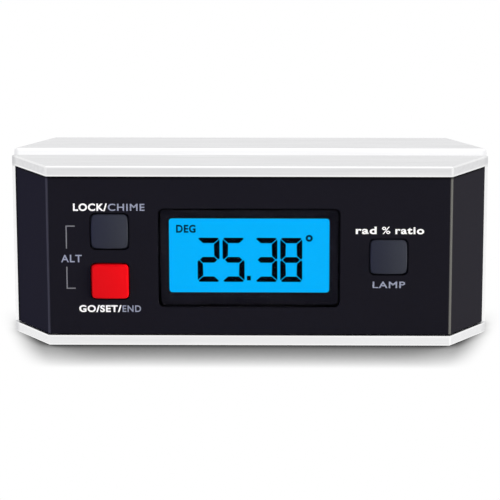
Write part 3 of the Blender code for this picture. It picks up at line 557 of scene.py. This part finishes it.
# Backlit cell: an even blue with a faint cloudiness from the diffuser behind it.
blue_display = surface("lit display", "#001420", 0.3, 0.4 * MM, 0.001 * MM, Specular_IOR_Level=0.0)
cell_shader = blue_display.node_tree.nodes["Principled BSDF"]
cell_shader.inputs["Emission Color"].default_value = linear("#05B0FA")
cell_shader.inputs["Emission Strength"].default_value = 1.0
dress("lcd_glass", blue_display)

# Liquid crystal that blocks the backlight: flat black, and navy where the figures are thin.
dark_crystal = surface("dark liquid crystal", "#02060E", 0.5, 0.4 * MM, 0.001 * MM, Specular_IOR_Level=0.0)
navy_crystal = surface("navy liquid crystal", "#031E38", 0.5, 0.4 * MM, 0.001 * MM, Specular_IOR_Level=0.0)

FIGURE_LOW = 20.31 * MM
FIGURE_LEFTS = (("2", -16.44 * MM), ("5", -8.5 * MM), ("3", 1.92 * MM), ("8", 9.83 * MM))
POINT_LEFT = -0.78 * MM
POINT_RIGHT = 0.47 * MM
POINT_LIFT = 0.5 * MM
POINT_HIGH = 2.0 * MM
DEGREE_X = 19.0 * MM
DEGREE_Z = 34.73 * MM
DEGREE_OUTSIDE = 1.13 * MM
DEGREE_INSIDE = 0.45 * MM
SEGMENTS_LIT = {"2": (0, 1, 3, 4, 6), "5": (0, 2, 3, 5, 6), "3": (0, 1, 2, 3, 6), "8": (0, 1, 2, 3, 4, 5, 6)}
figures = []
for sign, left in FIGURE_LEFTS:
    figures += figure_outlines(SEGMENTS_LIT[sign], left, FIGURE_LOW)
figures.append(box_outline(POINT_LEFT, POINT_RIGHT, FIGURE_LOW + POINT_LIFT, FIGURE_LOW + POINT_HIGH))
plates("display_figures", figures, GLASS_Y - FIGURE, GLASS_Y + INK_SUNK, dark_crystal)
degree_rings = [
    rounded_outline(radius, radius, radius, DEGREE_X, DEGREE_Z) for radius in (DEGREE_OUTSIDE, DEGREE_INSIDE)
]
rim_plate("display_degree", *degree_rings, GLASS_Y - FIGURE, GLASS_Y + INK_SUNK, navy_crystal, "lit_display")
words("display_unit", "DEG", -23.2 * MM, -17.0 * MM, 36.6 * MM, 2.5 * MM, navy_crystal, 0.036, GLASS_Y)


# Behind the cell are its white holder, the light guide with a lamp at each end, and two strips of striped
# silicone rubber that join the glass to the board.

# White ABS and polycarbonate mouldings: smooth, satin, slightly warm.
white_moulding = surface("white ABS", "#E6E6E2", 0.45, 0.4 * MM, 0.004 * MM)
for node in ("lcd_holder", "light_guide", "left_led", "right_led"):
    dress(node, white_moulding)
# Silicone rubber, matt and pink.
striped_rubber = surface("striped silicone rubber", "#D8A8A0", 0.7, 0.2 * MM, 0.01 * MM)
for node in ("upper_contact_strip", "lower_contact_strip"):
    dress(node, striped_rubber)


# The window is a plate of clear acrylic, flush in the front cover. A black border is printed on its back and
# leaves the display's field open.

# Cast acrylic has an IOR of 1.49. This one is coated against glare and shows hardly any mirror image, which
# is matched by a lower IOR.
clear_acrylic = surface(
    "clear acrylic", "#FFFFFF", 0.02, 0.5 * MM, 0.0002 * MM, 0.005, IOR=1.05, Transmission_Weight=1.0
)
FINE_EDGE = 0.1 * MM
window_mesh = whole_mesh("lens", "window")
window = put_piece("window", window_mesh, clear_acrylic, "housing", ["lens"])
soften(window, FINE_EDGE)

lens_low, lens_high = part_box("lens")
PRINT_Y = lens_high.y
PRINT_MARGIN = 0.5 * MM
PRINT_ROUND = 1.3 * MM
# Margin and rounding of the painted seam shade round the window.
SEAM_SHADE_MARGIN = 0.05 * MM
SEAM_SHADE_ROUND = 1.6 * MM
FIELD_HALF_X = 25.4 * MM
FIELD_HALF_Z = 12.15 * MM
FIELD_ROUND = 1.0 * MM
FIELD_MIDDLE = 29.35 * MM
LENS_MIDDLE = (lens_high.z + lens_low.z) / 2
LENS_HALF = (lens_high.z - lens_low.z) / 2
border_outer = rounded_outline(
    lens_high.x - PRINT_MARGIN, LENS_HALF - PRINT_MARGIN, PRINT_ROUND, 0.0, LENS_MIDDLE
)
seam_shade_outer = rounded_outline(lens_high.x - SEAM_SHADE_MARGIN, LENS_HALF - SEAM_SHADE_MARGIN, SEAM_SHADE_ROUND, 0.0, LENS_MIDDLE)
border_inner = rounded_outline(FIELD_HALF_X, FIELD_HALF_Z, FIELD_ROUND, 0.0, FIELD_MIDDLE)
# Black ink under acrylic: flat, a little more neutral than the cover.
border_ink = surface("black border ink", "#131219", 0.6, 0.4 * MM, 0.001 * MM, Specular_IOR_Level=0.0)
PRINT_FRONT = PRINT_Y + INK_SUNK
PRINT_BACK = PRINT_Y + 3 * INK
SEAM_SHADE_BACK = PRINT_Y + 4 * INK
rim_plate("window_border", border_outer, border_inner, PRINT_FRONT, PRINT_BACK, border_ink, "clear_acrylic")
# A very dark ring round the window's edge, behind the acrylic: painted shade for the seam round the window,
# the darkest line on the front.
seam_shade = surface("painted seam shade", "#040406", 0.8, 0.2 * MM, 0.01 * MM, Specular_IOR_Level=0.0)
rim_plate("window_seam_shade", seam_shade_outer, border_outer, PRINT_FRONT, SEAM_SHADE_BACK, seam_shade, "clear_acrylic")


# The three keys are moulded caps in the front cover's openings, each with a crowned face, a flange behind the
# cover and a stem that presses a switch on the board.

KEY_WIDE = 5.8 * MM
KEY_HIGH = 5.6 * MM
KEY_TOP = 1.1 * MM
KEY_ROUND = 0.45 * MM
KEY_SQUARE = 11
STEM_RADIUS = 2.0 * MM
STEM_FROM = 1.8 * MM
STEM_TO = 3.5 * MM


def key_cap(name, node, finish, crown, body):
    """A closed cap of rings round the key's axis, which is the middle of its CAD node.

    Each ring is a superellipse, a curve between an ellipse and a rectangle: its distance from the axis at an
    angle is 1 / (|cos / wide|^n + |sin / high|^n)^(1/n), with n 11 for the square rings and 2 for the round
    stem. The face is a shallow bowl turned outwards: from its top it falls by the crown times
    (distance / corner)^2. Behind the rounded edge, skirt gives how far each ring of the sides and the flange
    lies in and back.
    """
    low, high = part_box(node)
    x = (low.x + high.x) / 2
    z = (low.z + high.z) / 2
    turns = np.linspace(0, 2 * math.pi, 96, endpoint=False)
    face = np.array([0.92, 0.8, 0.65, 0.5, 0.35, 0.22, 0.12, 0.06]) * KEY_HIGH
    bend = np.linspace(0, math.pi / 2, 7)
    skirt = np.array([(0.0, 2.3), (-1.2, 2.3), (-1.2, 3.3), (1.3, 3.3), (1.3, 1.8)]) * MM
    stem = [[STEM_RADIUS], [STEM_RADIUS]]
    inset = np.concatenate([face, KEY_ROUND * (1 - np.sin(bend)), skirt[:, 0]])[:, None]
    edge_backs = KEY_ROUND * (1 - np.cos(bend))
    backs = np.concatenate([np.zeros(len(face)), edge_backs, skirt[:, 1], [STEM_FROM, STEM_TO]])
    wide = np.concatenate([KEY_WIDE - inset, stem])
    tall = np.concatenate([KEY_HIGH - inset, stem])
    power = np.where(np.arange(len(wide)) >= len(wide) - len(stem), 2.0, KEY_SQUARE)[:, None]
    sideways = (np.abs(np.cos(turns)) / wide) ** power
    upwards = (np.abs(np.sin(turns)) / tall) ** power
    reach = (sideways + upwards) ** (-1 / power)
    crowned = np.arange(len(wide))[:, None] < len(face) + len(bend)
    corner = math.hypot(KEY_WIDE, KEY_HIGH) * 2 ** (-1 / KEY_SQUARE)
    rise = np.where(crowned, KEY_TOP - crown * (reach / corner) ** 2, 0.0)
    across = x + reach * np.cos(turns)
    up = z + reach * np.sin(turns)
    depth = FACE_Y + backs[:, None] - rise
    put_piece(name, closed_skin(name, np.stack([across, depth, up], 2)), finish, body, [node])


def closed_skin(name, rings):
    """A mesh through rings of points, rings by points by XYZ, with a point at the middle of each end."""
    count, around = rings.shape[:2]
    poles = rings[[0, -1]].mean(1)
    points = np.concatenate([rings.reshape(-1, 3), poles])
    ring = np.arange(count - 1)[:, None]
    step = np.arange(around)[None, :]
    after = (step + 1) % around
    first = ring * around
    quads = np.stack([first + step, first + after, first + around + after, first + around + step], 2)
    last = (count - 1) * around
    start = np.stack([np.full(around, count * around), after[0], step[0]], 1)
    end = np.stack([np.full(around, count * around + 1), last + step[0], last + after[0]], 1)
    mesh = bpy.data.meshes.new(name)
    mesh.from_pydata(points.tolist(), [], quads.reshape(-1, 4).tolist() + start.tolist() + end.tolist())
    outward(mesh)
    mesh.shade_smooth()
    mesh.set_sharp_from_angle(angle=math.radians(50))
    return mesh


# Satin moulded keys: soft blue-grey, and a strong signal red. The grey ones are crowned the most.
GREY_CROWN = 1.4 * MM
RED_CROWN = 0.4 * MM
grey_key = surface("grey key plastic", "#2D2F3D", 0.42, 0.3 * MM, 0.003 * MM, Specular_IOR_Level=0.08)
red_key = surface("red key plastic", "#DD0613", 0.42, 0.3 * MM, 0.003 * MM, Specular_IOR_Level=0.08)
key_cap("hold_cap", "hold_key", grey_key, GREY_CROWN, "hold_button")
key_cap("power_cap", "power_key", red_key, RED_CROWN, "power_button")
key_cap("light_cap", "light_key", grey_key, GREY_CROWN, "light_button")

# Switch bodies of black nylon, with ivory plungers that move with the keys.
black_nylon = surface("black nylon", "#18181A", 0.5, 0.3 * MM, 0.004 * MM)
ivory_nylon = surface("ivory nylon", "#D8D2BE", 0.5, 0.3 * MM, 0.004 * MM)
for stem in ("hold", "power", "light"):
    dress(f"{stem}_switch", black_nylon)
    dress(f"{stem}_plunger", ivory_nylon)


# The board is glass epoxy under green lacquer, on four posts of the front cover. It carries the buzzer, the
# tilt sensor in its steel can, the controller and the socket for the battery's leads.

# Lacquer over woven glass: glossy green, faintly uneven.
green_lacquer = surface("green solder mask", "#1F5A34", 0.3, 0.4 * MM, 0.006 * MM, mottle=0.06)
# Epoxy moulded round the chip and the buzzer: matt black with a fine grain.
black_epoxy = surface("black epoxy", "#141416", 0.55, 0.2 * MM, 0.006 * MM)
# Zinc plate: pale, faintly clouded metal.
zinc_plate = surface(
    "zinc plate", "#BDC0C4", 0.32, 0.3 * MM, 0.003 * MM, mottle=0.08, patch=2 * MM, Metallic=1.0
)
dress("circuit_board", green_lacquer)
dress("controller_chip", black_epoxy)
dress("buzzer", black_epoxy)
dress("tilt_sensor", zinc_plate)
dress("lead_socket", white_moulding)


# Four zinc-plated screws hold the board, and four longer ones go in from the back and hold the covers
# together over the frame. Each has a cross recess in its head.


def cross_recess(node, name):
    """A screw with two crossed slots sunk in its head, cut by a cross of two bars that narrow as they go in.

    The bars' half length, half width and depth are shares of the head's width.
    """
    taper = 0.6
    mesh = whole_mesh(node, name)
    screw = put_piece(name, mesh, zinc_plate, "housing", [node])
    low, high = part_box(node)
    x = (low.x + high.x) / 2
    z = (low.z + high.z) / 2
    wide = (high.x - low.x) * 0.3
    thin = wide * 0.24
    deep = (high.x - low.x) * 0.2
    shape = bmesh.new()
    for half_x, half_z in ((wide, thin), (thin, wide)):
        made = bmesh.ops.create_cube(shape, size=2.0)["verts"]
        bmesh.ops.scale(shape, vec=(half_x, deep, half_z), verts=made)
        bmesh.ops.translate(shape, vec=(x, high.y, z), verts=made)
        inner = [corner for corner in made if corner.co.y < high.y]
        for corner in inner:
            corner.co.x = x + (corner.co.x - x) * taper
            corner.co.z = z + (corner.co.z - z) * taper
    tool_mesh = bpy.data.meshes.new("cross")
    shape.to_mesh(tool_mesh)
    shape.free()
    tool = bpy.data.objects.new("cross", tool_mesh)
    bpy.context.scene.collection.objects.link(tool)
    cut = screw.modifiers.new("cross recess", "BOOLEAN")
    cut.operation = "DIFFERENCE"
    cut.solver = "EXACT"
    cut.use_self = True
    cut.object = tool
    bpy.context.view_layer.update()
    done = bpy.data.meshes.new_from_object(screw.evaluated_get(bpy.context.evaluated_depsgraph_get()))
    screw.modifiers.clear()
    screw.data = done
    done.shade_smooth()
    done.set_sharp_from_angle(angle=math.radians(35))
    bpy.data.objects.remove(tool)


for number in range(1, 5):
    cross_recess(f"case_screw_{number}", f"cross_case_screw_{number}")
    cross_recess(f"board_screw_{number}", f"cross_board_screw_{number}")


# The rear cover is the front's twin in black ABS. It carries the sleeves of the case screws and the bay for
# the battery.

rear_mesh = whole_mesh("rear_cover", "rear moulding")
rear = put_piece("rear_moulding", rear_mesh, black_abs, "housing", ["rear_cover"])
round_folds(rear, FOLD_X, FOLD_ROUND)
soften(rear, BROKEN_EDGE)


# A nine volt block lies in the bay, in a plain satin jacket, with a vinyl snap and two thin leads.

# Painted steel jacket: satin dark grey.
battery_jacket = surface(
    "painted steel jacket", "#5A5E66", 0.3, 0.4 * MM, 0.002 * MM, mottle=0.05, Metallic=0.6
)
# Soft vinyl, black on the snap and one lead and red on the other: satin, hardly grained.
black_vinyl = surface("black vinyl", "#1A1A1C", 0.55, 0.3 * MM, 0.006 * MM)
red_vinyl = surface("red vinyl", "#B01818", 0.5, 0.3 * MM, 0.004 * MM)
dress("battery", battery_jacket)
dress("battery_snap", black_vinyl)
dress("black_lead", black_vinyl)
dress("red_lead", red_vinyl)


# The battery door slides off along the length. It is moulded in the covers' ABS, with ridges for a thumb.

door_mesh = whole_mesh("battery_door", "door moulding")
door = put_piece("door_moulding", door_mesh, black_abs, "door", ["battery_door"])
soften(door, FINE_EDGE)


# The studio: a white paper sweep and a white surround. A strong soft lamp stands at the right, with weaker
# ones overhead, in front, at the left and behind, and a long lens looks down by fifteen degrees.


def white_to_camera(tree, seen, lighting):
    """Mixes what camera, glossy and transmission rays see with what lights the gauge."""
    path = add_node(tree, "ShaderNodeLightPath").outputs
    larger = {"operation": "MAXIMUM"}
    shown = path["Is Camera Ray"]
    for ray in ("Is Glossy Ray", "Is Transmission Ray"):
        shown = add_node(tree, "ShaderNodeMath", larger, {0: shown, 1: path[ray]}).outputs[0]
    return add_node(tree, "ShaderNodeMixShader", None, {0: shown, 1: lighting, 2: seen})


WHITE = (1.0, 1.0, 1.0, 1.0)
FLOOR_HALF = 6.0
FLOOR_Z = -0.02 * MM
floor_mesh = bpy.data.meshes.new("floor")
floor_corners = [(x, y, FLOOR_Z) for x, y in box_outline(-FLOOR_HALF, FLOOR_HALF, -FLOOR_HALF, FLOOR_HALF)]
floor_mesh.from_pydata(floor_corners, [], [(0, 1, 2, 3)])
floor = bpy.data.objects.new("floor", floor_mesh)
bpy.context.scene.collection.objects.link(floor)

# White paper: the camera sees pure white and the gauge's shadow on it, and the metal mirrors it a little
# darker with distance. The shadow is how much the gauge hides of a half sphere that leans back, within a
# short reach, times the same straight up within a shorter one. It fades out past the gauge's ends, a little
# further out at the back.
SHADOW_REACH = 24 * MM
SHADOW_TILT = math.radians(60)
SHADOW_SLANT = 0.25
SHADOW_FULL = 71 * MM
SHADOW_END = 81.5 * MM
SHADOW_POWER = 1.6
CONTACT_REACH = 4 * MM
DARKER_FROM = 90 * MM
DARKER_TO = 280 * MM
floor_paper = bpy.data.materials.new("white paper sweep")
floor_paper.use_nodes = True
paper_tree = floor_paper.node_tree
paper_tree.nodes.clear()
from_camera = add_node(paper_tree, "ShaderNodeLightPath").outputs["Is Camera Ray"]
place = add_node(paper_tree, "ShaderNodeTexCoord").outputs["Object"]
spot = add_node(paper_tree, "ShaderNodeSeparateXYZ", None, {"Vector": place}).outputs
aside = add_node(paper_tree, "ShaderNodeMath", {"operation": "ABSOLUTE"}, {0: spot["X"]})
slant = {"operation": "MULTIPLY_ADD", 1: -SHADOW_SLANT}
slanted = add_node(paper_tree, "ShaderNodeMath", slant, {0: spot["Y"], 2: aside.outputs[0]})
fade = {"interpolation_type": "SMOOTHSTEP", "From Min": SHADOW_END, "From Max": SHADOW_FULL}
at_gauge = add_node(paper_tree, "ShaderNodeMapRange", fade, {"Value": slanted.outputs[0]})
shadow_seen = add_node(
    paper_tree, "ShaderNodeMath", {"operation": "MULTIPLY"}, {0: at_gauge.outputs[0], 1: from_camera}
)
lean = add_node(paper_tree, "ShaderNodeCombineXYZ", {"Y": math.sin(SHADOW_TILT), "Z": math.cos(SHADOW_TILT)})
soft_reach = {"Distance": SHADOW_REACH, "samples": 24}
soft_shadow = add_node(paper_tree, "ShaderNodeAmbientOcclusion", soft_reach, {"Normal": lean.outputs[0]})
contact = add_node(paper_tree, "ShaderNodeAmbientOcclusion", {"Distance": CONTACT_REACH, "samples": 16})
open_share = {0: soft_shadow.outputs["AO"], 1: contact.outputs["AO"]}
both = add_node(paper_tree, "ShaderNodeMath", {"operation": "MULTIPLY"}, open_share)
shade = add_node(paper_tree, "ShaderNodeMath", {"operation": "POWER", 1: SHADOW_POWER}, {0: both.outputs[0]})
away = add_node(paper_tree, "ShaderNodeVectorMath", {"operation": "LENGTH"}, {"Vector": place})
darker = {"From Min": DARKER_FROM, "From Max": DARKER_TO, "To Min": 1.0, "To Max": 0.9}
far_floor = add_node(paper_tree, "ShaderNodeMapRange", darker, {"Value": away.outputs["Value"]})
unshaded = add_node(paper_tree, "ShaderNodeMixRGB", {2: WHITE}, {0: from_camera, 1: far_floor.outputs[0]})
tones = {0: shadow_seen.outputs[0], 1: unshaded.outputs[0], 2: shade.outputs[0]}
paper_tone = add_node(paper_tree, "ShaderNodeMixRGB", None, tones)
paper_seen = add_node(paper_tree, "ShaderNodeEmission", {"Strength": 1.0}, {"Color": paper_tone.outputs[0]})
paper_diffuse = add_node(paper_tree, "ShaderNodeBsdfDiffuse", {"Color": (0.8, 0.8, 0.8, 1.0)})
paper_mix = white_to_camera(paper_tree, paper_seen.outputs[0], paper_diffuse.outputs[0])
# From below the paper is clear, so that the gauge's underside shows.
underneath = add_node(paper_tree, "ShaderNodeNewGeometry").outputs["Backfacing"]
clear = add_node(paper_tree, "ShaderNodeBsdfTransparent")
sides = {0: underneath, 1: paper_mix.outputs[0], 2: clear.outputs[0]}
paper = add_node(paper_tree, "ShaderNodeMixShader", None, sides)
add_node(paper_tree, "ShaderNodeOutputMaterial", None, {"Surface": paper.outputs[0]})
floor_mesh.materials.append(floor_paper)

# The surround is pure white to the camera, a little darker in the metal, and gives only weak light.
world = bpy.data.worlds.new("studio")
bpy.context.scene.world = world
world.use_nodes = True
sky = world.node_tree
sky.nodes.clear()
sky_path = add_node(sky, "ShaderNodeLightPath").outputs
shown_white = add_node(
    sky, "ShaderNodeMapRange", {"To Min": 0.95, "To Max": 1.0}, {"Value": sky_path["Is Camera Ray"]}
)
white_seen = add_node(
    sky, "ShaderNodeBackground", {"Color": WHITE}, {"Strength": shown_white.outputs["Result"]}
)
soft_light = add_node(sky, "ShaderNodeBackground", {"Color": WHITE, "Strength": 0.14})
sky_mix = white_to_camera(sky, white_seen.outputs[0], soft_light.outputs[0])
add_node(sky, "ShaderNodeOutputWorld", None, {"Surface": sky_mix.outputs[0]})

GAUGE_MIDDLE = (0.0, 0.0, 0.03)


def soft_lamp(name, place, size, power, tint="#FFFFFF", glossy=False):
    """A square area lamp that faces the gauge's middle; only a glossy one shows in the metal."""
    lamp = bpy.data.lights.new(name, "AREA")
    lamp.size = size
    lamp.energy = power
    lamp.color = linear(tint)[:3]
    holder = bpy.data.objects.new(name, lamp)
    bpy.context.scene.collection.objects.link(holder)
    holder.location = place
    away = np.array(GAUGE_MIDDLE) - np.array(place)
    turn = math.atan2(away[1], away[0]) - math.pi / 2
    tilt = math.atan2(math.hypot(away[0], away[1]), -away[2])
    holder.rotation_euler = (tilt, 0.0, turn)
    holder.visible_glossy = glossy


soft_lamp("overhead", (0.0, -0.3, 1.2), size=2.0, power=4.0, glossy=True)
soft_lamp("front", (0.0, -1.2, 0.5), size=0.8, power=0.9, tint="#C8CCFF")
soft_lamp("right", (1.75, -0.47, 0.32), size=1.0, power=92.0, tint="#FFFFDC")
soft_lamp("left", (-0.9, -0.15, 0.2), size=0.5, power=7.6, tint="#D6D6FF")
soft_lamp("rear", (-0.5, 1.3, 0.6), size=1.0, power=16.0)

# The camera's lens, place and turn come from fitting the gauge's outline to the photograph.
CAMERA_PLACE = (0.01437, -0.90746, 0.2765)
camera_data = bpy.data.cameras.new("camera")
camera_data.lens = 209.46
camera_data.sensor_width = 36.0
camera_data.clip_start = 0.01
camera_data.clip_end = 50.0
camera = bpy.data.objects.new("camera", camera_data)
bpy.context.scene.collection.objects.link(camera)
pitch = math.radians(15.424)
yaw = math.radians(-0.910)
roll = math.radians(-0.118)
forward = np.array([math.sin(yaw) * math.cos(pitch), math.cos(yaw) * math.cos(pitch), -math.sin(pitch)])
level = np.array([math.cos(yaw), -math.sin(yaw), 0.0])
upright = np.cross(level, forward)
aim = np.eye(4)
aim[:3, 0] = math.cos(roll) * level + math.sin(roll) * upright
aim[:3, 1] = -math.sin(roll) * level + math.cos(roll) * upright
aim[:3, 2] = -forward
aim[:3, 3] = CAMERA_PLACE
camera.matrix_world = Matrix(aim.tolist())
bpy.context.scene.camera = camera
bpy.context.scene.view_settings.view_transform = "Standard"
